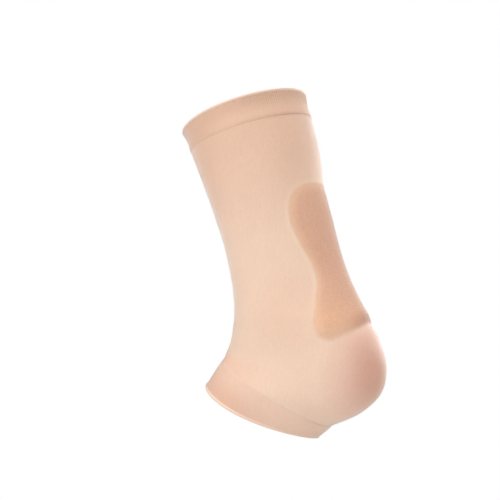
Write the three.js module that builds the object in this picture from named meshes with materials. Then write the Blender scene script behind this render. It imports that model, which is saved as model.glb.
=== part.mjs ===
// Ankle brace: a knitted elastic sleeve with a round heel, open at its calf end and at its midfoot end, with
// a folded cuff at each opening and a soft gel pad inside its back, above the heel.
// Millimetres, +Z up, +X to the heel, -X to the front. The origin is in the bend, midway across.
import * as THREE from "three";

// Driving dimensions
const KNIT_WALL = 1.2; // single knit of the sleeve
const CUFF_WALL = 2.2; // folded double knit of both cuffs
const CUFF_PROUD = 0.3; // how far a cuff stands out from the sleeve beside it
const PIECE_GAP = 0.4; // clear space between a cuff and the sleeve
const PAD_GAP = 0.5; // clear space between the pad and the knit over it
const PAD_THICKNESS = 4.5; // gel at the middle of the pad
const PAD_EDGE = 0.8; // gel at the thin edge of the pad
const PAD_BULGE = 2.3; // how far the pad lifts the knit outwards

// Sections of the outer surface. Each is an oval through a front and a back point. Its sides lie halfWidth
// out, taper draws it in towards the back, bow moves its sides towards the foot cuff, and rings is the
// number of steps from it to the next section.
const SECTION_COLUMNS = ["frontX", "frontZ", "backX", "backZ", "halfWidth", "taper", "bow", "rings"];
const CALF_RIM = [-89, 162, 12, 192, 46, 0.04, 0, 3];
const SLEEVE_SECTIONS = [
  [-81.5, 145, 17.5, 171, 44, 0.05, 2, 2], // seam of the calf cuff
  [-71, 120, 24.7, 142, 42, 0.08, 1, 4],
  [-61, 95, 29, 110, 40, 0.12, 0, 4], // top of the pad
  [-52, 69, 36, 77, 37, 0.16, 0, 3], // narrowest part of the sleeve
  [-46, 43, 45, 48, 35, 0.18, 0, 3],
  [-44, 25, 55, 26, 35, 0.16, 0, 6],
  [-44, 14, 65, 9, 36, 0.14, 0, 6], // bottom of the pad at the back
  [-45.5, 5, 72.8, -5, 36, 0.12, 0, 3],
  [-47, -2, 78, -24, 35, 0.1, 0, 3], // back of the heel
  [-49, -8, 74, -44, 34, 0.08, 0, 3],
  [-51, -13, 57.5, -59.5, 34, 0.1, 0, 3],
  [-52, -17.5, 34, -70, 36, 0.16, 0, 4], // seam of the foot cuff
];
const FOOT_RIM = [-67, -39, 22.5, -79, 37, 0.22, 4, 0];

// Outline of the pad: half its width, in degrees round the sleeve, at equal shares of the way down it.
// A station is a place along a piece, counted in its sections.
const PAD_HALF_ANGLES = [44, 47, 50, 48, 44.5, 47, 56.5, 63.5, 67.5, 69, 69];
const PAD_TURN = -13; // degrees by which its top is turned round the sleeve, as worn
const PAD_TOP = 1.78; // station of the top edge
const PAD_BOTTOM = 6.1; // station of the bottom edge at the pad's middle
const PAD_LOBE_DROP = 1.15; // stations by which the lobes at each side hang lower
const PAD_LOBE_ANGLE = 60; // degrees from the pad's middle to the lowest point of a lobe
const PAD_LOBE_CURVE = 1.7; // power of the curve from the middle to a lobe
const PAD_TOP_ROUND = { share: 0.2, power: 2.7 }; // share of the pad's length that rounds off each end, and
const PAD_BOTTOM_ROUND = { share: 0.08, power: 5 }; // power of the curve: 2 is an ellipse, more is squarer
const PAD_FEATHER = { side: 0.4, top: 0.16, bottom: 0.08 }; // shares over which the gel thins to its edge

// Steps of the faceted solids
const AROUND = 48; // points round a section
const BACK_CROWDING = 0.3; // how strongly those points crowd together at the back, over the pad
const RIM_STEPS = 4; // steps round the rolled rim of a cuff
const PAD_ROWS = 20;
const PAD_ACROSS = 16;
const PAD_END_SHARE = 0.004; // how far short of its ideal tip the pad is closed off at each end
const SLOPE_STEP = 0.001; // step for measuring the surface's slope

const { clamp, degToRad, radToDeg, smoothstep } = THREE.MathUtils;

// Smooth curve through equally spaced values, carried straight on past its ends.
function splineAt(values, position) {
  const last = values.length - 1;
  const i = clamp(Math.floor(position), 0, last - 1);
  const t = position - i;
  const b = values[i];
  const c = values[i + 1];
  const a = i > 0 ? values[i - 1] : 2 * b - c;
  const d = i + 2 <= last ? values[i + 2] : 2 * c - b;
  const slope = (c - a) / 2;
  const bend = a - 2.5 * b + 2 * c - d / 2;
  const twist = (d - a + 3 * (b - c)) / 2;
  return b + t * (slope + t * (bend + t * twist));
}

function sectionAt(sections, station) {
  const valueOf = (column) => splineAt(sections.map((row) => row[column]), station);
  return Object.fromEntries(SECTION_COLUMNS.map((name, column) => [name, valueOf(column)]));
}

// Point of the outer surface without the pad's bulge. The angle is 0 at the back and turns towards +Y.
function surfacePoint(sections, station, angle) {
  const { frontX, frontZ, backX, backZ, halfWidth, taper, bow } = sectionAt(sections, station);
  const toBack = new THREE.Vector3((backX - frontX) / 2, 0, (backZ - frontZ) / 2);
  const towardsFoot = new THREE.Vector3(toBack.z, 0, -toBack.x).normalize();
  const side = halfWidth * Math.sin(angle) * (1 - taper * Math.cos(angle));
  return new THREE.Vector3((frontX + backX) / 2, side, (frontZ + backZ) / 2)
    .addScaledVector(toBack, Math.cos(angle))
    .addScaledVector(towardsFoot, bow * Math.sin(angle) ** 2);
}

function surfaceFrame(sections, station, angle) {
  const at = (alongStep, aroundStep) => surfacePoint(sections, station + alongStep, angle + aroundStep);
  const down = at(SLOPE_STEP, 0).sub(at(-SLOPE_STEP, 0)).normalize();
  const around = at(0, SLOPE_STEP).sub(at(0, -SLOPE_STEP));
  const normal = down.clone().cross(around).normalize();
  return { point: at(0, 0), down, normal };
}

// Angle of the pad's middle line, which turns to the middle of the back on its way down.
function padTurn(station) {
  const left = 1 - clamp((station - PAD_TOP) / (PAD_BOTTOM - PAD_TOP), 0, 1);
  return degToRad(PAD_TURN) * left ** 2;
}

// Station of the pad's bottom edge, which hangs in a lobe at each side. The angle is from the middle line.
function padBottomAt(across) {
  const outward = Math.min(1, Math.abs(radToDeg(across)) / PAD_LOBE_ANGLE);
  return PAD_BOTTOM + PAD_LOBE_DROP * outward ** PAD_LOBE_CURVE;
}

// Rises from 0 at an end of the pad to 1, along a quarter of an ellipse or a squarer curve.
function roundedEnd(fromEnd, { share, power }) {
  return (1 - (1 - clamp(fromEnd / share, 0, 1)) ** power) ** (1 / power);
}

function padHalfAngle(share) {
  const degrees = splineAt(PAD_HALF_ANGLES, share * (PAD_HALF_ANGLES.length - 1));
  const ends = roundedEnd(share, PAD_TOP_ROUND) * roundedEnd(1 - share, PAD_BOTTOM_ROUND);
  return degToRad(degrees) * ends;
}

// How full the pad is under a point of the sleeve: 0 outside its outline, 1 in its middle.
function padFullness(sections, station, angle) {
  if (sections !== SLEEVE_SECTIONS) return 0;
  const across = angle - padTurn(station);
  const share = (station - PAD_TOP) / (padBottomAt(across) - PAD_TOP);
  if (share <= 0 || share >= 1) return 0;
  const inward = 1 - Math.abs(across) / padHalfAngle(share);
  const side = smoothstep(inward, 0, PAD_FEATHER.side);
  const top = smoothstep(share, 0, PAD_FEATHER.top);
  const bottom = smoothstep(1 - share, 0, PAD_FEATHER.bottom);
  return side * top * bottom;
}

// Point at a height above the outer surface, slid along it towards the foot cuff.
function knitPoint(sections, station, angle, height, slide = 0) {
  const { point, down, normal } = surfaceFrame(sections, station, angle);
  const lift = height + PAD_BULGE * padFullness(sections, station, angle);
  return point.addScaledVector(normal, lift).addScaledVector(down, slide);
}

// Angle of a point round a section, from -180 to 180 degrees, crowded towards the back.
function ringAngle(i) {
  const even = (2 * Math.PI * i) / AROUND - Math.PI;
  return even - BACK_CROWDING * Math.sin(even);
}

function geometryOf(points, faces) {
  const positions = points.flatMap((point) => point.toArray());
  return new THREE.BufferGeometry()
    .setAttribute("position", new THREE.Float32BufferAttribute(positions, 3))
    .setIndex(faces);
}

// Triangles between two closed loops of points, facing out where the first loop is the upper one.
function joinLoops(upper, lower, count) {
  const faces = [];
  for (let i = 0; i < count; i++) {
    const j = (i + 1) % count;
    faces.push(upper + i, lower + i, lower + j, upper + i, lower + j, upper + j);
  }
  return faces;
}

// Stations of a piece's rings, from its first section to its last.
function ringStations(sections) {
  const last = sections.length - 1;
  const stations = sections.slice(0, last).flatMap((row, section) => {
    const rings = row[SECTION_COLUMNS.indexOf("rings")];
    return Array.from({ length: rings }, (_, k) => section + k / rings);
  });
  return [...stations, last];
}

// Half a turn round a rolled rim, as heights and slides from the middle of the wall at its edge.
function rimRoll(station, middle, radius, side) {
  const turns = Array.from({ length: RIM_STEPS - 1 }, (_, k) => (Math.PI * (k + 1)) / RIM_STEPS);
  return turns.map((turn) => ({
    station,
    height: middle + side * radius * Math.cos(turn),
    slide: side * radius * (Math.sin(turn) - 1),
  }));
}

// Closed ring of knit: down its outer face and back up its inner face, with a rolled rim or a
// plain edge, half a gap short of the seam, at each end.
function knitWall({ sections, outer, inner, rolledTop = false, rolledFoot = false }) {
  const middle = (outer + inner) / 2;
  const radius = (outer - inner) / 2;
  const last = sections.length - 1;
  const edgeSlide = new Map([
    [0, rolledTop ? radius : PIECE_GAP / 2],
    [last, rolledFoot ? -radius : -PIECE_GAP / 2],
  ]);
  const face = (height) =>
    ringStations(sections).map((station) => ({ station, height, slide: edgeSlide.get(station) ?? 0 }));
  const profile = [
    ...face(outer),
    ...(rolledFoot ? rimRoll(last, middle, radius, 1) : []),
    ...face(inner).reverse(),
    ...(rolledTop ? rimRoll(0, middle, radius, -1) : []),
  ];
  const points = [];
  const faces = [];
  profile.forEach(({ station, height, slide }, row) => {
    for (let i = 0; i < AROUND; i++) points.push(knitPoint(sections, station, ringAngle(i), height, slide));
    const next = (row + 1) % profile.length;
    faces.push(...joinLoops(row * AROUND, next * AROUND, AROUND));
  });
  return geometryOf(points, faces);
}

function sleeve() {
  return knitWall({ sections: SLEEVE_SECTIONS, outer: 0, inner: -KNIT_WALL });
}

const CUFF_FACES = { outer: CUFF_PROUD, inner: CUFF_PROUD - CUFF_WALL };

function calfCuff() {
  return knitWall({ sections: [CALF_RIM, SLEEVE_SECTIONS.at(0)], ...CUFF_FACES, rolledTop: true });
}

function footCuff() {
  return knitWall({ sections: [SLEEVE_SECTIONS.at(-1), FOOT_RIM], ...CUFF_FACES, rolledFoot: true });
}

// One section across the pad: its outer face against the knit, then back along its inner face.
function padLoop(share) {
  const half = padHalfAngle(share);
  const columns = Array.from({ length: PAD_ACROSS + 1 }, (_, i) => half * ((2 * i) / PAD_ACROSS - 1));
  const outer = -KNIT_WALL - PAD_GAP;
  const face = (depthOf) =>
    columns.map((across) => {
      const station = PAD_TOP + share * (padBottomAt(across) - PAD_TOP);
      const angle = across + padTurn(station);
      const fullness = padFullness(SLEEVE_SECTIONS, station, angle);
      return knitPoint(SLEEVE_SECTIONS, station, angle, outer - depthOf(fullness));
    });
  const gelDepth = (fullness) => PAD_EDGE + (PAD_THICKNESS - PAD_EDGE) * fullness;
  return [...face(() => 0), ...face(gelDepth).reverse()];
}

function gelPad() {
  const points = [];
  const faces = [];
  const count = 2 * (PAD_ACROSS + 1);
  for (let row = 0; row <= PAD_ROWS; row++) {
    const share = (1 - Math.cos((Math.PI * row) / PAD_ROWS)) / 2;
    points.push(...padLoop(clamp(share, PAD_END_SHARE, 1 - PAD_END_SHARE)));
    if (row > 0) faces.push(...joinLoops((row - 1) * count, row * count, count));
  }
  for (const [start, flip] of [[0, false], [PAD_ROWS * count, true]]) {
    for (let i = 0; i < PAD_ACROSS; i++) {
      const [a, b] = [start + i, start + i + 1];
      const [c, d] = [start + count - 2 - i, start + count - 1 - i];
      faces.push(...(flip ? [a, c, b, a, d, c] : [a, b, c, a, c, d]));
    }
  }
  return geometryOf(points, faces);
}

function piece(name, geometry, color, roughness) {
  const mesh = new THREE.Mesh(geometry, new THREE.MeshStandardMaterial({ color, roughness, metalness: 0 }));
  mesh.name = name;
  return mesh;
}

const brace = new THREE.Group();
brace.name = "ankle_brace";
brace.add(
  piece("sleeve", sleeve(), "#efceb7", 0.85),
  piece("calf_cuff", calfCuff(), "#e4baa3", 0.9),
  piece("foot_cuff", footCuff(), "#e8c2ad", 0.9),
  piece("gel_pad", gelPad(), "#d9a98f", 0.45),
);

export default brace;
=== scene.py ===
import math

import bpy
import numpy as np
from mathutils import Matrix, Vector
from mathutils.kdtree import KDTree


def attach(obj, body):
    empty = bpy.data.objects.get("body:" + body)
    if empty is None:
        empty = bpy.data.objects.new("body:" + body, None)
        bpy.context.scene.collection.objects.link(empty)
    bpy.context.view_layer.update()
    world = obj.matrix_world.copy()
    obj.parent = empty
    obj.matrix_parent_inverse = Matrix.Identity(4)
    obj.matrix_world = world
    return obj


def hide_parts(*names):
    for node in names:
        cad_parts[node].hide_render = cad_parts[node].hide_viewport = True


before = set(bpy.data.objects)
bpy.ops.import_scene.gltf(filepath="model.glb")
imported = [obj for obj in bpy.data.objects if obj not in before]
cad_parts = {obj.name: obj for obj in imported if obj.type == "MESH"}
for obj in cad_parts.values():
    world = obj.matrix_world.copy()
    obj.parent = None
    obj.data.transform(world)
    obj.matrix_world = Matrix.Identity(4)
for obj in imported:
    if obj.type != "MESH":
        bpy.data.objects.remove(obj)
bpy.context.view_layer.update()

# Looks of an ankle brace: a knitted elastic sleeve, open at its calf end and at its midfoot end, with a
# folded ribbed cuff at each opening and a soft gel pad inside its back, above the heel.
# Sizes are millimetres and angles degrees unless a name says otherwise. +X is the heel side.
MM = 0.001

# Driving dimensions of the pieces
KNIT_WALL = 1.2  # single knit of the sleeve
CUFF_WALL = 2.2  # folded double knit of both cuffs
CUFF_PROUD = 0.3  # how far a cuff stands out from the sleeve beside it
CALF_WAIST = 0.7  # how far each cuff is drawn in halfway from its rim to its seam; below 0 it swells
FOOT_WAIST = -0.2
PIECE_GAP = 0.4  # clear space between a cuff and the sleeve
PAD_GAP = 0.5  # clear space between the pad and the knit over it
PAD_THICKNESS = 4.5  # gel at the middle of the pad
PAD_EDGE = 0.8  # gel at the thin edge of the pad
PAD_BULGE = 2.3  # how far the pad lifts the knit outwards

# Sections of the outer surface. Each is an oval through a front and a back point. Its sides lie half_width
# out, taper draws it in towards the back, and bow moves its sides towards the foot cuff.
# Columns: front_x, front_z, back_x, back_z, half_width, taper, bow
CALF_RIM = (-89, 162, 12, 192, 46, 0.04, 0)
SLEEVE_SECTIONS = (
    (-81.5, 145, 17.5, 171, 44, 0.05, 2),  # seam of the calf cuff
    (-71, 120, 24.7, 142, 42, 0.08, 1),
    (-61, 95, 29, 110, 40, 0.12, 0),  # top of the pad
    (-52, 69, 36, 77, 37, 0.16, 0),  # narrowest part of the sleeve
    (-46, 43, 45, 48, 35, 0.18, 0),
    (-44, 25, 55, 26, 35, 0.16, 0),
    (-44, 14, 65, 9, 36, 0.14, 0),  # bottom of the pad at the back
    (-45.5, 5, 72.8, -5, 36, 0.12, 0),
    (-47, -2, 78, -24, 35, 0.1, 0),  # back of the heel
    (-49, -8, 74, -44, 34, 0.08, 0),
    (-51, -13, 57.5, -59.5, 34, 0.1, 0),
    (-52, -17.5, 34, -70, 36, 0.16, 0),  # seam of the foot cuff
)
FOOT_RIM = (-67, -39, 22.5, -79, 37, 0.22, 4)
CALF_SECTIONS = (CALF_RIM, SLEEVE_SECTIONS[0])
FOOT_SECTIONS = (SLEEVE_SECTIONS[-1], FOOT_RIM)

# Outline of the pad: half its width, in degrees round the sleeve, at equal shares of the way down it.
# A station is a place along a piece, counted in its sections.
PAD_HALF_ANGLES = (44, 47, 50, 48, 44.5, 47, 56.5, 63.5, 67.5, 69, 69)
PAD_TURN = -13  # degrees by which its top is turned round the sleeve, as worn
PAD_TOP = 1.78  # station of the top edge
PAD_BOTTOM = 6.1  # station of the bottom edge at the pad's middle
PAD_LOBE_DROP = 1.15  # stations by which the lobes at each side hang lower
PAD_LOBE_ANGLE = 60  # degrees from the pad's middle to the lowest point of a lobe
PAD_LOBE_CURVE = 1.7  # power of the curve from the middle to a lobe
# Share of the pad's length that rounds off each end, and the power of its curve: 2 is an ellipse and more
# is squarer
PAD_TOP_ROUND = (0.2, 2.7)
PAD_BOTTOM_ROUND = (0.08, 5)
# Width over which the knit climbs from the pad's edge, at shares of the way down the pad
PAD_SLOPES = ((0.05, 32), (0.3, 14), (0.75, 14), (1, 8))
PAD_LIP = 0.3  # the first steep part of that width, and the part of the climb that it takes

# Rims and ribs of the cuffs
WELT = 2.0  # height of the smooth rolled edge of a cuff
WELT_PROUD = 0.5
WELT_FALL = (0.9, 0.3)  # distances before and past its end between which it falls to the face of the cuff
CALF_RIBS = 190
FOOT_RIBS = 190
CALF_RIB_DEPTH = 0.4
FOOT_RIB_DEPTH = 0.04
RIB_POWER = 0.7  # below 1 the grooves are narrower than the ribs
RIB_START = 0.6  # distance past the welt at which the ribs are at their full strength
RIB_LOSS = 0.8  # how much of it they lose on the way down, and the share of the length by which it is lost
RIB_LOSS_END = 0.75
SEAM_RIBS = 0.6  # strength that they have again by the seam
SEAM_RIB_BAND = (2.5, 1)  # distances from the seam between which it comes back
INNER_RIBS = 0.5  # strength of the ribs on the inner face
RIB_FADE = 0.8  # how much of the ribs is lost to stretch at the front
RIB_FADES = (55, 95)  # degrees from the back between which it is lost

# Seams
SEAM_RADIUS = 0.42
CALF_SEAM_DROP = 0.33  # how far each seam sinks at the back; at the front it is level with the sleeve
FOOT_SEAM_DROP = 0.08
SEAM_SINKS = (10, 85)  # degrees from the back between which it comes up
SEAM_ROUND = 1.4  # width over which a cuff's edge rounds down to its seam, at the back and at the front
SEAM_ROUND_FRONT = 3.2
STITCH_RISE = 0.1  # how much the seam yarn swells at each stitch
LINE_FROM_SEAM = 1.8  # a second, faint line of linking beside each seam
LINE_WIDTH = 0.5
LINE_DEPTH = 0.12

# Steps of the meshes
AROUND = 264  # points round the sleeve
BACK_CROWDING = 0.3  # how strongly they crowd together at the back, over the pad
ROW = 1.35  # distance between the rows on the outer face of the sleeve
EDGE_ROW = 0.35  # and close to its seams
EDGE_BAND = (4, 12)  # distances from a seam between which the rows move apart
INNER_ROW = 2.4  # distance between the rows on the inner face
RIB_STEPS = 8
CUFF_ROWS = 24
CUFF_CROWDING = 1.3  # power that crowds these rows towards the rim
CUFF_INNER_ROWS = 8
RIM_STEPS = 8
SEAM_SIDES = 8
SEAM_STEPS = 6  # steps of the seam yarn for each stitch
PAD_ROWS = 90
PAD_ACROSS = 56
PAD_END_SHARE = 0.004  # share of its length that is cut off each end of the pad's mesh
EDGE_SIDE_POINTS = 900  # points along each side of the pad, and round each of its ends, that mark its edge
EDGE_END_POINTS = 300
MEASURE_ROWS = 900  # rows and points round each row of the grid that a piece is measured on
MEASURE_AROUND = 48
SLOPE_STEP = 0.001  # stations and radians over which the slope of the surface is measured
FLOOR_SIDES = 96

# Knit: columns of stitches round each piece and rows of stitches along it
WALES = 400
SLEEVE_COURSES = 520
CUFF_COURSES = 44
STITCH_SLANT = 1.6  # rows by which a strand slants, to the width of a column
LOOP_DEPTH = 0.6  # depth of the gaps between rows, as a part of the stitch
STITCH_RELIEF = 0.12  # height of the stitches
STITCH_BUMP = 0.5  # how strongly that relief shows
# Patterns in the colour of the knit: scale and detail of each noise, and how strongly it tints
MOTTLE_NOISE = (45, 3)
MOTTLE = 0.08
STREAK_NOISE = (1, 1)
STREAK_SCALE = (650, 650, 160)  # streaks to the metre across and down the sleeve
STREAKS = 0.07
GRAIN_NOISE = (700, 1)
SPECKLE = 0.1
PAD_SPECKLE = 0.14  # how much stronger the speckle is over the pad
STITCH_SHADE = 0.12  # how much darker the gaps between the stitches are

# Yarn of the seams and gel: scale and detail of each noise, and strength and depth of each relief
TWIST_NOISE = (2500, 2)
TWIST_BUMP = (0.4, 0.1)
DIMPLE_NOISE = (900, 2)
DIMPLE_BUMP = (0.2, 0.2)
CLOUD_NOISE = (60, 3)
CLOUD = 0.5  # how much of the pad's darker colour clouds the gel

# Constant values on the shaders
CLOTH_GLOSS = {
    "Roughness": 0.45,
    "Specular IOR Level": 1.0,
    "Sheen Weight": 1.0,
    "Sheen Roughness": 0.3,
    "Sheen Tint": (1, 0.97, 0.94, 1),
}
GEL_GLOSS = {
    "Roughness": 0.38,
    "Subsurface Weight": 0.4,
    "Subsurface Radius": (1.0, 0.5, 0.3),
    "Subsurface Scale": 3 * MM,
}
FLOOR_GLOSS = {"Roughness": 0.9, "Specular IOR Level": 0.1}

COLOURS = {
    "knit_pale": "#f6d4ba",
    "knit_deep": "#e8bb9f",
    "heel": "#ecbfa9",
    # painted shade at the back of the heel
    "heel_painted_shade": "#d9a48b",
    "pad_rim": "#e9bb9a",
    "pad_core": "#ddaa8d",
    "pad_low": "#e5b18e",
    # painted shade just above the pad's bottom edge
    "pad_painted_shade": "#c68c6e",
    "calf_cuff": "#e7bb9e",
    "foot_cuff": "#f3ceb5",
    # deeper front tone of the cuffs, partly painted shade
    "cuff_front": "#e4b59a",
    "cuff_edge": "#f3d1ba",
    # painted shade between the ribs of the cuffs
    "groove": "#c99d84",
    # painted shade on the seam yarn where it sinks at the back
    "seam_painted_shade": "#b98d75",
    "gel": "#d9a383",
    "floor": "#dcdcdc",
}

# Tones of the sleeve
# How pale the knit is down the sleeve, for each of its sections: stretched knit is paler, and near the foot
# seam it is paler still as painted light against the shade where the sleeve faces down.
PALENESS = (0.1, 0.25, 0.5, 0.8, 0.85, 0.85, 0.85, 0.9, 0.9, 0.9, 0.95, 1)
INSTEP_DEEPENING = 0.9  # how much less pale the instep is, between degrees from the back and stations
INSTEP_ANGLES = (80, 125)
INSTEP_STATIONS = (9, 10.8)
SIDE_SHADE = 0.4  # the same at each side above the heel, as painted shade of the hollow there, with distances from its middle
SIDE_CENTRE = (15, 35, 17)
SIDE_DISTANCES = (40, 8)
HALO_RISE = 0.28  # how much paler the knit is where it is stretched over the edge of the pad, partly as a painted highlight where it climbs onto the pad
HALO = (0.5, 4.5)  # distances outside that edge between which this is lost
HALO_SHARES = (0.45, 0.75)  # shares of the way down the pad between which it is lost
# Distance inside the pad's edge where the gel is at its full thickness and looks darkest, at shares of the
# way down the pad
PAD_CORES = ((0.1, 10), (0.45, 8), (0.65, 9), (0.9, 12))
PAD_CORE_BLUR = 9
PAD_BOTTOM_BLUR = 1.2  # how much softer the pad's edge looks at its bottom
PAD_BOTTOM_SHARES = (0.8, 0.95)  # shares of the way down the pad between which it turns softer
PAD_LOW_SHARES = (0.55, 0.85)  # and between which its core turns paler
PAD_LOW_ANGLES = (15, 50)  # degrees from the back between which that comes to show in full
PAD_LOW_MIDDLE = 0.25  # how much of it shows at the back
PAD_RIM_EDGE = (-0.8, 1.6)  # distances inside the pad's edge between which its rim takes colour
PAD_DULL_EDGE = (-0.8, 3.0)  # and between which the knit over it turns rougher
PAD_DULLING = 0.4  # how much rougher it is
INSET_LIMITS = (-10, 40)  # limits of the distance inside the pad's edge that the colours read
# Painted shade just above the pad's bottom edge, where the knit turns down under the pad: degrees from the
# back between which it fades, shares of the way down the pad between which it starts, and distances inside
# the edge between which it darkens and is lost
PAD_SHADE_ANGLES = (5, 55)
PAD_SHADE_SHARES = (0.75, 0.9)
PAD_SHADE_DARKENS = (-0.5, 3)
PAD_SHADE_ENDS = (4, 15)
# Middle of the heel's pinker zone and of its painted shade
HEEL_CENTRE = (73, -13, -31)
HEEL_SQUEEZE = (1, 1, 0.72)  # the heel zone is longer upwards
HEEL_PINK = (44, 18)  # distances from there between which the knit turns pinker, then darker with painted shade
HEEL_SHADE = (27, 3)

# Tones of the cuffs
CALF_GROOVE_SHADE = 0.95  # painted shade: how much of a darker colour shows between the ribs
FOOT_GROOVE_SHADE = 0.06
# How much deeper a cuff is in tone at the front, partly its own tone and partly painted shade against the
# light that falls on the front, the degrees from the back between which it deepens, the part of it that is
# left at the seam, and the distances from the rim between which the rest is lost, so that the foot cuff
# keeps more painted shade towards its rim
CALF_FRONT = (0.8, (90, 150), 1, (4, 18))
FOOT_FRONT = (0.9, (45, 110), 0.45, (4, 18))
WELT_BLUR = 0.4  # distance to each side of the welt's end over which its paler colour is lost

# Camera and studio
IMAGE_AIM = (-33.5, 0, 67)
CAMERA_AZIMUTH = 25
CAMERA_ELEVATION = -5
CAMERA_DISTANCE = 800
LENS = 72
SENSOR = 36
FLOOR_HEIGHT = -115
FLOOR_RADIUS = 30000
ROOM_LIGHT = 0.12
# Soft far white lights. Columns: name, degrees to the right of the camera, elevation, strength, spread
LIGHTS = (
    ("key", -42, 35, 0.44, 50),
    ("fill", 35, 15, 0.03, 50),
    ("side", 115, 6, 0.36, 40),
    ("rim", 150, 6, 0.4, 36),
    ("top", 0, 90, 0.81, 100),
)


def smoothstep(value, low, high):
    share = np.clip((value - low) / (high - low), 0, 1)
    return share * share * (3 - 2 * share)


def unit(vectors):
    return vectors / np.linalg.norm(vectors, axis=-1, keepdims=True)


def from_back(angle):
    """Degrees from the middle of the back, to either side."""
    return np.abs(np.degrees(angle))


def spline(values, position):
    """Smooth curve through equally spaced values or rows, carried straight on past its ends."""
    rows = np.asarray(values, float)
    ahead = 2 * rows[:1] - rows[1:2]
    beyond = 2 * rows[-1:] - rows[-2:-1]
    rows = np.concatenate([ahead, rows, beyond])
    first = np.clip(np.floor(position), 0, len(values) - 2).astype(int)
    t = np.asarray(position - first)
    t = t.reshape(t.shape + (1,) * (rows.ndim - 1))
    a, b, c, d = (rows[first + k] for k in range(4))
    slope = (c - a) / 2
    bend = a - 2.5 * b + 2 * c - d / 2
    twist = (d - a + 3 * (b - c)) / 2
    return b + t * (slope + t * (bend + t * twist))


def surface(sections, station, angle):
    """Points of the outer surface without the pad's bulge. The angle is 0 at the back, towards +Y."""
    columns = np.moveaxis(spline(sections, station), -1, 0)
    front_x, front_z, back_x, back_z, half_width, taper, bow = columns
    to_back_x = (back_x - front_x) / 2
    to_back_z = (back_z - front_z) / 2
    sag = bow * np.sin(angle) ** 2 / np.hypot(to_back_x, to_back_z)
    x = (front_x + back_x) / 2 + to_back_x * np.cos(angle) + sag * to_back_z
    y = half_width * np.sin(angle) * (1 - taper * np.cos(angle))
    z = (front_z + back_z) / 2 + to_back_z * np.cos(angle) - sag * to_back_x
    return np.stack([x, y, z], -1)


def surface_frame(sections, station, angle):
    """Points of the outer surface with their directions towards the foot cuff and outwards."""
    step = SLOPE_STEP
    down = unit(surface(sections, station + step, angle) - surface(sections, station - step, angle))
    around = surface(sections, station, angle + step) - surface(sections, station, angle - step)
    return surface(sections, station, angle), down, unit(np.cross(down, around))


def raised(sections, station, angle, height, slide=0.0):
    """Points at a height above the outer surface, slid along it towards the foot cuff."""
    point, down, normal = surface_frame(sections, station, angle)
    return point + normal * np.asarray(height)[..., None] + down * np.asarray(slide)[..., None]


def pad_turn(station):
    """Angle of the pad's middle line, which turns to the middle of the back on its way down."""
    left = 1 - np.clip((station - PAD_TOP) / (PAD_BOTTOM - PAD_TOP), 0, 1)
    return np.radians(PAD_TURN) * left**2


def pad_bottom(across):
    """Station of the pad's bottom edge, by the angle from its middle line."""
    outward = np.minimum(1, np.abs(np.degrees(across)) / PAD_LOBE_ANGLE)
    return PAD_BOTTOM + PAD_LOBE_DROP * outward**PAD_LOBE_CURVE


def rounded_end(from_end, share, power):
    """Rises from 0 at an end of the pad to 1, along a quarter of an ellipse or a squarer curve."""
    return (1 - (1 - np.clip(from_end / share, 0, 1)) ** power) ** (1 / power)


def pad_half_angle(share):
    degrees = spline(PAD_HALF_ANGLES, share * (len(PAD_HALF_ANGLES) - 1))
    ends = rounded_end(share, *PAD_TOP_ROUND) * rounded_end(1 - share, *PAD_BOTTOM_ROUND)
    return np.radians(degrees) * ends


def pad_share(station, angle):
    """Share of the way down the pad, 0 at its top edge and 1 at its bottom edge."""
    return (station - PAD_TOP) / (pad_bottom(angle - pad_turn(station)) - PAD_TOP)


def pad_place(share, side):
    """Station and angle of a place on the pad; side runs from -1 to 1 across it."""
    across = pad_half_angle(share) * side
    station = PAD_TOP + share * (pad_bottom(across) - PAD_TOP)
    return station, across + pad_turn(station)


def pad_edge_tree():
    """Search tree of points close together all round the edge of the pad."""
    step = np.linspace(0, 1, EDGE_END_POINTS)
    top, top_power = PAD_TOP_ROUND
    bottom, bottom_power = PAD_BOTTOM_ROUND
    middle = np.linspace(top, 1 - bottom, EDGE_SIDE_POINTS)
    share = np.concatenate([top * step**top_power, middle, 1 - bottom * step**bottom_power])
    sides = [surface(SLEEVE_SECTIONS, *pad_place(share, side)) for side in (-1, 1)]
    points = np.concatenate(sides)
    tree = KDTree(len(points))
    for index, point in enumerate(points):
        tree.insert(point, index)
    tree.balance()
    return tree


PAD_EDGE_TREE = pad_edge_tree()


def pad_inset(station, angle):
    """Distance inside the pad's edge, below 0 outside it."""
    points = surface(SLEEVE_SECTIONS, station, angle)
    distance = np.array([PAD_EDGE_TREE.find(point)[2] for point in points.reshape(-1, 3)])
    share = pad_share(station, angle)
    across = np.abs(angle - pad_turn(station))
    inside = (share > 0) & (share < 1) & (across < pad_half_angle(np.clip(share, 0, 1)))
    return np.where(inside, 1, -1) * distance.reshape(inside.shape)


def pad_fullness(station, angle, inset):
    """How far the knit is lifted by the pad, from 0 outside its edge to 1 in its middle."""
    shares, widths = np.transpose(PAD_SLOPES)
    slope = np.interp(pad_share(station, angle), shares, widths)
    return PAD_LIP * smoothstep(inset, 0, PAD_LIP * slope) + (1 - PAD_LIP) * smoothstep(inset, 0, slope)


def pad_core(station, angle, inset):
    """How much of the pad's darkest colour shows through the knit."""
    shares, widths = np.transpose(PAD_CORES)
    reach = np.interp(pad_share(station, angle), shares, widths)
    return smoothstep(inset, reach - PAD_CORE_BLUR, reach)


def pad_painted_shade(station, angle, inset):
    """Painted shade across the back, just above the bottom edge of the pad."""
    across = 1 - smoothstep(from_back(angle), *PAD_SHADE_ANGLES)
    low = smoothstep(pad_share(station, angle), *PAD_SHADE_SHARES)
    return across * low * smoothstep(inset, *PAD_SHADE_DARKENS) * (1 - smoothstep(inset, *PAD_SHADE_ENDS))


def ring_angles(count, crowding=0.0):
    """Angles of the points round a section, from the front, crowded towards the back."""
    even = 2 * np.pi * np.arange(count) / count - np.pi
    return even - crowding * np.sin(even)


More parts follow.
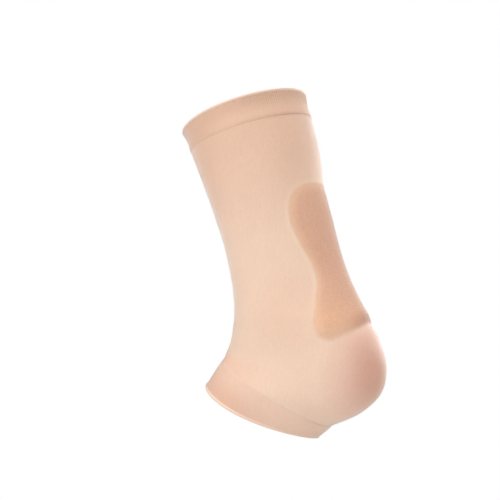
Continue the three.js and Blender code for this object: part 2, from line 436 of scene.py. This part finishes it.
def row_stations(sections, spacing, edge_spacing):
    """Stations of the rows down a piece and how far along it they lie, closer together near its ends."""
    stations = np.linspace(0, len(sections) - 1, MEASURE_ROWS)
    grid = surface(sections, stations[:, None], ring_angles(MEASURE_AROUND)[None, :])
    steps = np.linalg.norm(np.diff(grid, axis=0), axis=-1).mean(1)
    length = np.concatenate([[0], np.cumsum(steps)])
    to_end = np.minimum(length, length[-1] - length)
    wanted = edge_spacing + (spacing - edge_spacing) * smoothstep(to_end, *EDGE_BAND)
    rows = np.concatenate([[0], np.cumsum(steps / wanted[1:])])
    places = np.linspace(0, rows[-1], round(rows[-1]) + 1)
    return np.interp(places, rows, stations), np.interp(places, rows, length)


def line_dip(distance):
    """Depth of the faint line of linking at a distance from a seam."""
    return LINE_DEPTH * np.exp(-(((distance - LINE_FROM_SEAM) / LINE_WIDTH) ** 2))


def seam_sink(angle):
    """How sunk a seam is round the sleeve: 0 at the front and 1 at the back."""
    return 1 - smoothstep(from_back(angle), *SEAM_SINKS)


def arc_shares(grid):
    """Share of the way round each row of points, measured along the row, with the full turn at its end."""
    closed = np.concatenate([grid, grid[:, :1]], axis=1)
    steps = np.linalg.norm(np.diff(closed, axis=1), axis=-1)
    length = np.concatenate([np.zeros((len(grid), 1)), np.cumsum(steps, axis=1)], axis=1)
    return length / length[:, -1:]


def link(name, mesh):
    piece = bpy.data.objects.new(name, mesh)
    bpy.context.scene.collection.objects.link(piece)
    return piece


def new_mesh(name, points, faces):
    """Mesh from points in millimetres."""
    mesh = bpy.data.meshes.new(name)
    mesh.from_pydata((points.reshape(-1, 3) * MM).tolist(), [], faces)
    return mesh


def quads(row, below, count):
    """Faces between rows of points, which are closed round, and the rows below them."""
    column = np.arange(count)[None, :]
    beside = (column + 1) % count
    here, under = row * count, below * count
    return np.stack([here + column, under + column, under + beside, here + beside], -1).reshape(-1, 4)


def knit_piece(name, grid, along, fields):
    """Closed tube of knit from rows of points in millimetres, with a map of its stitches.

    along is how far down the piece each row lies, as a share. fields are named values for each point.
    """
    rows, count = grid.shape[:2]
    row = np.arange(rows)[:, None]
    below = (row + 1) % rows
    mesh = new_mesh(name, grid, quads(row, below, count).tolist())
    shares = arc_shares(grid)
    column = np.arange(count)[None, :]
    corners = [(row, column), (below, column), (below, column + 1), (row, column + 1)]
    uv = np.stack([np.stack(np.broadcast_arrays(shares[r, c], along[r]), -1) for r, c in corners], 2)
    mesh.uv_layers.new(name="knit").uv.foreach_set("vector", uv.astype(np.float32).ravel())
    for title, values in fields.items():
        attribute = mesh.attributes.new(title, "FLOAT", "POINT")
        values = np.broadcast_to(values, (rows, count)).astype(np.float32)
        attribute.data.foreach_set("value", values.ravel())
    mesh.shade_smooth()
    return link(name, mesh)


def sleeve_tones(points, station, angle, inset):
    """Values at each point of the sleeve that its colours follow."""
    share = pad_share(station, angle)
    # Paler where the knit is stretched over the pad's edge, partly a painted highlight.
    stretch_and_highlight = (1 - smoothstep(-inset, *HALO)) * (1 - smoothstep(share, *HALO_SHARES))
    forward = smoothstep(from_back(angle), *INSTEP_ANGLES)
    x, y, z = np.moveaxis(points, -1, 0)
    from_side = np.linalg.norm(np.stack([x, np.abs(y), z], -1) - SIDE_CENTRE, axis=-1)
    deepening = INSTEP_DEEPENING * forward * smoothstep(station, *INSTEP_STATIONS)
    # Painted shade in the hollow at each side above the heel.
    deepening = deepening + SIDE_SHADE * smoothstep(from_side, *SIDE_DISTANCES)
    sideways = smoothstep(from_back(angle), *PAD_LOW_ANGLES)
    low = smoothstep(share, *PAD_LOW_SHARES)
    softness = 1 + PAD_BOTTOM_BLUR * smoothstep(share, *PAD_BOTTOM_SHARES)
    return {
        "pad_inset": np.clip(inset / softness, *INSET_LIMITS),
        "pad_core": pad_core(station, angle, inset),
        "pad_low": low * (PAD_LOW_MIDDLE + (1 - PAD_LOW_MIDDLE) * sideways),
        "pad_painted_shade": pad_painted_shade(station, angle, inset),
        # paleness holds stretched knit, painted light near the foot seam, a painted highlight at the pad's
        # edge and painted shade at each side above the heel
        "paleness": spline(PALENESS, station) + HALO_RISE * stretch_and_highlight - deepening,
        "from_heel": np.linalg.norm((points - HEEL_CENTRE) * HEEL_SQUEEZE, axis=-1),
    }


def sleeve_face(spacing, edge_spacing, depth):
    """Rows of points at a depth below the sleeve's outer face, how far down it they lie, and their tones."""
    stations, length = row_stations(SLEEVE_SECTIONS, spacing, edge_spacing)
    station = np.repeat(stations[:, None], AROUND, axis=1)
    angle = np.repeat(ring_angles(AROUND, BACK_CROWDING)[None, :], len(stations), axis=0)
    inset = pad_inset(station, angle)
    dip = line_dip(length) + line_dip(length[-1] - length)
    height = PAD_BULGE * pad_fullness(station, angle, inset) - dip[:, None] * seam_sink(angle) - depth
    slide = np.zeros_like(height)
    slide[0] = PIECE_GAP / 2
    slide[-1] = -PIECE_GAP / 2
    points = raised(SLEEVE_SECTIONS, station, angle, height, slide)
    return points, length / length[-1], sleeve_tones(points, station, angle, inset)


def sleeve():
    """Tube of single knit, with rows down its outer face and back up its inner face."""
    outer, outer_along, outer_tones = sleeve_face(ROW, EDGE_ROW, 0.0)
    inner, inner_along, inner_tones = sleeve_face(INNER_ROW, INNER_ROW, KNIT_WALL)
    grid = np.concatenate([outer, inner[::-1]])
    along = np.concatenate([outer_along, inner_along[::-1]])
    tones = {title: np.concatenate([outer_tones[title], inner_tones[title][::-1]]) for title in outer_tones}
    return knit_piece("knit_sleeve", grid, along, tones)


def cuff_profile(length, waist):
    """Rows from the rim down the outer face to the seam and back up the inner face and round the rim.

    Columns: distance from the rim, height, rib strength, distance from the seam on the outer face.
    """
    radius = CUFF_WALL / 2
    end = length - PIECE_GAP / 2
    outer = radius + (end - radius) * (np.arange(CUFF_ROWS + 1) / CUFF_ROWS) ** CUFF_CROWDING
    outer = np.insert(outer, CUFF_ROWS, end - EDGE_ROW)  # keeps the turn at the seam narrow
    before, past = WELT_FALL
    welt = WELT_PROUD * (1 - smoothstep(outer, WELT - before, WELT + past))
    lost = RIB_LOSS * smoothstep(outer, WELT, RIB_LOSS_END * length)
    ribs = smoothstep(outer, WELT, WELT + RIB_START) * (1 - lost)
    far, near = SEAM_RIB_BAND
    ribs = np.maximum(ribs, SEAM_RIBS * smoothstep(outer, end - far, end - near))
    drawn_in = waist * np.sin(np.pi * outer / length) ** 2
    face = np.stack([outer, CUFF_PROUD + welt - drawn_in, ribs, end - outer], -1)
    inner = np.linspace(end, radius, CUFF_INNER_ROWS + 1)
    drawn_in = waist * np.sin(np.pi * inner / length) ** 2
    level = np.ones_like(inner)
    back = np.stack([inner, CUFF_PROUD - CUFF_WALL - drawn_in, INNER_RIBS * level, length * level], -1)
    turn = np.pi * np.arange(1, RIM_STEPS) / RIM_STEPS
    roll_radius = radius + WELT_PROUD / 2
    roll_height = CUFF_PROUD - radius + WELT_PROUD / 2 - roll_radius * np.cos(turn)
    level = np.ones_like(turn)
    roll = np.stack([radius - radius * np.sin(turn), roll_height, 0 * level, length * level], -1)
    return np.concatenate([face, back, roll])


def cuff(name, sections, rim_at, waist, front_shade, ribs, rib_depth, seam_drop):
    """Folded cuff whose rim is at the first or the last of its two sections."""
    count = ribs * RIB_STEPS
    angles = ring_angles(count)
    ends = surface(sections, np.array([[0.0], [1.0]]), angles[None, :])
    length = np.linalg.norm(ends[1] - ends[0], axis=-1).mean()
    share = arc_shares(ends[rim_at:rim_at + 1])[0]
    angle = np.interp(np.arange(count) / count, share[:-1], angles)[None, :]
    distance, height, strength, to_seam = (column[:, None] for column in cuff_profile(length, waist).T)
    sink = seam_sink(angle)
    edge = 1 - smoothstep(to_seam, 0, SEAM_ROUND_FRONT + (SEAM_ROUND - SEAM_ROUND_FRONT) * sink)
    height = height - edge**2 * (CUFF_PROUD + seam_drop * sink) - line_dip(to_seam) * sink
    station = np.abs(rim_at - distance / length)
    wave = 1 - np.abs(np.sin(np.pi * np.arange(count) / RIB_STEPS))[None, :] ** RIB_POWER
    groove = wave * strength * (1 - RIB_FADE * smoothstep(from_back(angle), *RIB_FADES))
    grid = raised(sections, station + 0 * angle, angle + 0 * station, height - rib_depth * groove)
    deepest, front_angles, at_seam, seam_side = front_shade
    lost = (1 - at_seam) * smoothstep(distance, *seam_side)
    # Deeper tone at the front, partly painted shade against the light there.
    front = deepest * smoothstep(from_back(angle), *front_angles) * (1 - lost)
    fields = {"rim_distance": distance + 0 * angle, "groove": groove, "front": front}
    along = (distance / length)[:, 0]
    if rim_at:
        grid = grid[::-1]
        along = along[::-1]
        fields = {title: values[::-1] for title, values in fields.items()}
    return knit_piece(name, grid, along, fields)


def seam(name, station, stitches, seam_drop):
    """Ring of linking yarn in the groove beside a cuff, which swells at each stitch."""
    count = stitches * SEAM_STEPS
    angles = ring_angles(count)
    share = arc_shares(surface(SLEEVE_SECTIONS, np.full((1, count), float(station)), angles[None, :]))[0]
    angle = np.interp(np.arange(count) / count, share[:-1], angles)[None, :]
    turn = 2 * np.pi * np.arange(SEAM_SIDES)[:, None] / SEAM_SIDES
    swell = np.abs(np.sin(np.pi * np.arange(count) / SEAM_STEPS))[None, :]
    radius = SEAM_RADIUS + STITCH_RISE * swell
    drop = seam_drop * seam_sink(angle)
    height = radius * np.cos(turn) - SEAM_RADIUS - drop
    grid = raised(SLEEVE_SECTIONS, station + 0 * height, angle + 0 * height, height, radius * np.sin(turn))
    fields = {"swell": swell + 0 * height, "drop": drop + 0 * height}
    return knit_piece(name, grid, turn[:, 0] / (2 * np.pi), fields)


def gel_pad():
    """Closed pad of gel, with rows of points down it that run over its outer face and back under it."""
    across = np.linspace(-1, 1, PAD_ACROSS + 1)
    share = (1 - np.cos(np.linspace(0, np.pi, PAD_ROWS + 1))) / 2
    share = np.clip(share, PAD_END_SHARE, 1 - PAD_END_SHARE)[:, None]
    station, angle = pad_place(share, across[None, :])
    inset = pad_inset(station, angle)
    fullness = pad_fullness(station, angle, inset)
    outer_height = PAD_BULGE * fullness - KNIT_WALL - PAD_GAP
    depth = PAD_EDGE + (PAD_THICKNESS - PAD_EDGE) * fullness
    outer = raised(SLEEVE_SECTIONS, station, angle, outer_height)
    inner = raised(SLEEVE_SECTIONS, station, angle, outer_height - depth)
    loops = np.concatenate([outer, inner[:, ::-1]], axis=1)
    rows, count = loops.shape[:2]
    row = np.arange(rows - 1)[:, None]
    sides = quads(row, row + 1, count)
    left = np.arange(PAD_ACROSS)
    top = np.stack([left, left + 1, count - 2 - left, count - 1 - left], -1)
    bottom = (top + (rows - 1) * count)[:, ::-1]
    mesh = new_mesh("soft_gel_pad", loops, np.concatenate([sides, top, bottom]).tolist())
    mesh.shade_smooth()
    return link("soft_gel_pad", mesh)


def linear(name):
    """Linear colour, with alpha, of a named sRGB colour."""
    code = COLOURS[name]
    channels = [int(code[k:k + 2], 16) / 255 for k in (1, 3, 5)]
    return [((c + 0.055) / 1.055) ** 2.4 if c > 0.04045 else c / 12.92 for c in channels] + [1.0]


def node(tree, kind, inputs=(), **settings):
    """New shader node. Each input is a value or another node's output."""
    made = tree.nodes.new(kind)
    for name, value in settings.items():
        setattr(made, name, value)
    for socket, value in dict(inputs).items():
        if isinstance(value, bpy.types.NodeSocket):
            tree.links.new(value, made.inputs[socket])
        else:
            made.inputs[socket].default_value = value
    return made


def calc(tree, operation, *values):
    return node(tree, "ShaderNodeMath", enumerate(values), operation=operation).outputs[0]


def rise(tree, value, low, high):
    """Smooth rise from 0 to 1 as a value goes from low to high."""
    inputs = {"Value": value, "From Min": low, "From Max": high}
    return node(tree, "ShaderNodeMapRange", inputs, interpolation_type="SMOOTHSTEP").outputs["Result"]


def mixed(tree, share, first, second, blend="MIX"):
    """Mix of two colours, which are inputs 6 and 7 of its node, with output 2 as the result."""
    inputs = {0: share, 6: first, 7: second}
    return node(tree, "ShaderNodeMix", inputs, data_type="RGBA", blend_type=blend).outputs[2]


def field(tree, name):
    return node(tree, "ShaderNodeAttribute", attribute_name=name).outputs["Fac"]


def noise(tree, scale, detail, place=None):
    """Cloudy pattern from 0 to 1. Without a place, its scale is that of the piece's own box."""
    inputs = {"Scale": scale, "Detail": detail}
    if place is not None:
        inputs["Vector"] = place
    return node(tree, "ShaderNodeTexNoise", inputs).outputs["Fac"]


def bump(tree, shader, height, strength, depth):
    """Shades a surface as if it had relief of a depth in millimetres."""
    inputs = {"Strength": strength, "Distance": depth * MM, "Height": height}
    tree.links.new(node(tree, "ShaderNodeBump", inputs).outputs["Normal"], shader.inputs["Normal"])


def new_material(name, gloss):
    """New material with constant values on its shader."""
    material = bpy.data.materials.new(name)
    material.use_nodes = True
    shader = material.node_tree.nodes["Principled BSDF"]
    for socket, value in gloss.items():
        shader.inputs[socket].default_value = value
    return material, material.node_tree, shader


def knit_place(tree):
    """Places round and along a knit piece, as shares."""
    uv = node(tree, "ShaderNodeUVMap", uv_map="knit").outputs["UV"]
    split = node(tree, "ShaderNodeSeparateXYZ", {"Vector": uv})
    return split.outputs["X"], split.outputs["Y"]


def knit_height(tree, courses):
    """Height of plain knit stitches: two slanted strands of yarn in each column, with gaps between."""
    around, along = knit_place(tree)
    wale = calc(tree, "MULTIPLY", around, WALES)
    course = calc(tree, "MULTIPLY", along, courses)
    across = calc(tree, "PINGPONG", wale, 0.5)
    strands = calc(tree, "SINE", calc(tree, "MULTIPLY", across, math.tau))
    slant = calc(tree, "MULTIPLY_ADD", across, STITCH_SLANT, course)
    loop = calc(tree, "ABSOLUTE", calc(tree, "SINE", calc(tree, "MULTIPLY", slant, math.pi)))
    return calc(tree, "MULTIPLY", strands, calc(tree, "MULTIPLY_ADD", loop, LOOP_DEPTH, 1 - LOOP_DEPTH))


def knit_tint(tree, colour, height, speckle):
    """Colour with mottling, short streaks down the sleeve, fine speckle and darker gaps between stitches."""
    place = node(tree, "ShaderNodeTexCoord").outputs["Object"]
    drawn = {0: place, 1: STREAK_SCALE}
    drawn_out = node(tree, "ShaderNodeVectorMath", drawn, operation="MULTIPLY").outputs[0]
    patterns = (
        (noise(tree, *MOTTLE_NOISE, place), MOTTLE),
        (noise(tree, *STREAK_NOISE, drawn_out), STREAKS),
        (noise(tree, *GRAIN_NOISE, place), speckle),
        (height, STITCH_SHADE),
    )
    shade = 1.0
    for pattern, strength in patterns:
        centred = calc(tree, "SUBTRACT", pattern, 0.5)
        shade = calc(tree, "MULTIPLY", shade, calc(tree, "MULTIPLY_ADD", centred, strength, 1.0))
    return mixed(tree, 1.0, colour, shade, "MULTIPLY")


def finish_knit(tree, shader, colour, courses, speckle=SPECKLE):
    height = knit_height(tree, courses)
    tree.links.new(knit_tint(tree, colour, height, speckle), shader.inputs["Base Color"])
    bump(tree, shader, height, STITCH_BUMP, STITCH_RELIEF)


def sleeve_material():
    material, tree, shader = new_material("sleeve_knit", CLOTH_GLOSS)
    inset = field(tree, "pad_inset")
    from_heel = field(tree, "from_heel")
    colour = mixed(tree, field(tree, "paleness"), linear("knit_deep"), linear("knit_pale"))
    colour = mixed(tree, rise(tree, from_heel, *HEEL_PINK), colour, linear("heel"))
    # Painted shade darkens the back of the heel.
    colour = mixed(tree, rise(tree, from_heel, *HEEL_SHADE), colour, linear("heel_painted_shade"))
    core = mixed(tree, field(tree, "pad_low"), linear("pad_core"), linear("pad_low"))
    colour = mixed(tree, rise(tree, inset, *PAD_RIM_EDGE), colour, linear("pad_rim"))
    colour = mixed(tree, field(tree, "pad_core"), colour, core)
    # Painted shade just above the pad's bottom edge.
    colour = mixed(tree, field(tree, "pad_painted_shade"), colour, linear("pad_painted_shade"))
    speckle = calc(tree, "MULTIPLY_ADD", field(tree, "pad_core"), PAD_SPECKLE, SPECKLE)
    over_pad = rise(tree, inset, *PAD_DULL_EDGE)
    dull = calc(tree, "MULTIPLY_ADD", over_pad, PAD_DULLING, CLOTH_GLOSS["Roughness"])
    tree.links.new(dull, shader.inputs["Roughness"])
    finish_knit(tree, shader, colour, SLEEVE_COURSES, speckle)
    return material


def cuff_material(name, colour_name, groove_shade):
    material, tree, shader = new_material(name, CLOTH_GLOSS)
    welt = rise(tree, field(tree, "rim_distance"), WELT + WELT_BLUR, WELT - WELT_BLUR)
    # Deeper tone at the front, partly painted shade against the light there.
    colour = mixed(tree, field(tree, "front"), linear(colour_name), linear("cuff_front"))
    colour = mixed(tree, welt, colour, linear("cuff_edge"))
    groove = calc(tree, "MULTIPLY", field(tree, "groove"), groove_shade)
    # Painted shade in the grooves between the ribs.
    colour = mixed(tree, groove, colour, linear("groove"))
    finish_knit(tree, shader, colour, CUFF_COURSES)
    return material


def seam_material():
    material, tree, shader = new_material("seam_yarn", CLOTH_GLOSS)
    colour = mixed(tree, field(tree, "swell"), linear("calf_cuff"), linear("foot_cuff"))
    # Painted shade on the yarn where the seam sinks at the back.
    colour = mixed(tree, rise(tree, field(tree, "drop"), 0.0, CALF_SEAM_DROP), colour, linear("seam_painted_shade"))
    tree.links.new(colour, shader.inputs["Base Color"])
    bump(tree, shader, noise(tree, *TWIST_NOISE), *TWIST_BUMP)
    return material


def gel_material():
    material, tree, shader = new_material("gel", GEL_GLOSS)
    cloud = calc(tree, "MULTIPLY", noise(tree, *CLOUD_NOISE), CLOUD)
    colour = mixed(tree, cloud, linear("gel"), linear("pad_core"))
    tree.links.new(colour, shader.inputs["Base Color"])
    bump(tree, shader, noise(tree, *DIMPLE_NOISE), *DIMPLE_BUMP)
    return material


def floor():
    """Pale floor under the view, which throws light back up at the object and isn't seen itself."""
    turn = np.linspace(0, 2 * np.pi, FLOOR_SIDES, endpoint=False)
    height = np.full(FLOOR_SIDES, FLOOR_HEIGHT)
    rim = np.stack([np.cos(turn) * FLOOR_RADIUS, np.sin(turn) * FLOOR_RADIUS, height], -1)
    mesh = new_mesh("floor", rim, [list(range(FLOOR_SIDES))])
    gloss = {"Base Color": linear("floor"), **FLOOR_GLOSS}
    mesh.materials.append(new_material("floor", gloss)[0])
    piece = link("floor", mesh)
    piece.visible_camera = False


def direction(azimuth, elevation):
    """Unit vector from the object, turned round from -Y towards +X and then up."""
    turn = math.radians(azimuth)
    rise_angle = math.radians(elevation)
    level = math.cos(rise_angle)
    return Vector((math.sin(turn) * level, -math.cos(turn) * level, math.sin(rise_angle)))


def sun(name, azimuth, elevation, strength, spread):
    """Soft light from a far panel, placed by its angles from the camera."""
    data = bpy.data.lights.new(name, "SUN")
    data.energy = strength * math.pi
    data.angle = math.radians(spread)
    light = bpy.data.objects.new(name, data)
    light.rotation_mode = "QUATERNION"
    light.rotation_quaternion = direction(CAMERA_AZIMUTH + azimuth, elevation).to_track_quat("Z", "Y")
    bpy.context.scene.collection.objects.link(light)


def studio():
    """White room whose own light is dimmer than the white that the camera sees behind the object."""
    world = bpy.data.worlds.new("studio")
    world.use_nodes = True
    bpy.context.scene.world = world
    tree = world.node_tree
    seen = node(tree, "ShaderNodeLightPath").outputs["Is Camera Ray"]
    strength = calc(tree, "MULTIPLY_ADD", seen, 1 - ROOM_LIGHT, ROOM_LIGHT)
    tree.links.new(strength, tree.nodes["Background"].inputs["Strength"])
    tree.nodes["Background"].inputs["Color"].default_value = (1, 1, 1, 1)
    for light in LIGHTS:
        sun(*light)
    bpy.context.scene.view_settings.view_transform = "Standard"


def camera():
    back = direction(CAMERA_AZIMUTH, CAMERA_ELEVATION)
    data = bpy.data.cameras.new("camera")
    data.lens = LENS
    data.sensor_width = SENSOR
    made = bpy.data.objects.new("camera", data)
    made.location = (Vector(IMAGE_AIM) + back * CAMERA_DISTANCE) * MM
    made.rotation_mode = "QUATERNION"
    made.rotation_quaternion = back.to_track_quat("Z", "Y")
    bpy.context.scene.collection.objects.link(made)
    bpy.context.scene.camera = made


def dress(piece, material, slot, *nodes):
    """Gives a piece its material and its place in the part."""
    piece.data.materials.append(material)
    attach(piece, "root")
    if nodes:
        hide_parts(*nodes)
    return piece


camera()
studio()
floor()
last_section = len(SLEEVE_SECTIONS) - 1
tube = dress(sleeve(), sleeve_material(), "sleeve_knit", "sleeve")
calf_ribs = (CALF_RIBS, CALF_RIB_DEPTH, CALF_SEAM_DROP)
calf = cuff("knit_calf_cuff", CALF_SECTIONS, 0, CALF_WAIST, CALF_FRONT, *calf_ribs)
calf_knit = cuff_material("calf_cuff_knit", "calf_cuff", CALF_GROOVE_SHADE)
dress(calf, calf_knit, "cuff_knit", "calf_cuff")
foot_ribs = (FOOT_RIBS, FOOT_RIB_DEPTH, FOOT_SEAM_DROP)
foot = cuff("knit_foot_cuff", FOOT_SECTIONS, 1, FOOT_WAIST, FOOT_FRONT, *foot_ribs)
foot_knit = cuff_material("foot_cuff_knit", "foot_cuff", FOOT_GROOVE_SHADE)
dress(foot, foot_knit, "cuff_knit", "foot_cuff")
yarn = seam_material()
calf_seam = dress(seam("calf_seam", 0, CALF_RIBS, CALF_SEAM_DROP), yarn, "cuff_knit")
foot_seam = dress(seam("foot_seam", last_section, FOOT_RIBS, FOOT_SEAM_DROP), yarn, "cuff_knit")
pad = dress(gel_pad(), gel_material(), "gel", "gel_pad")
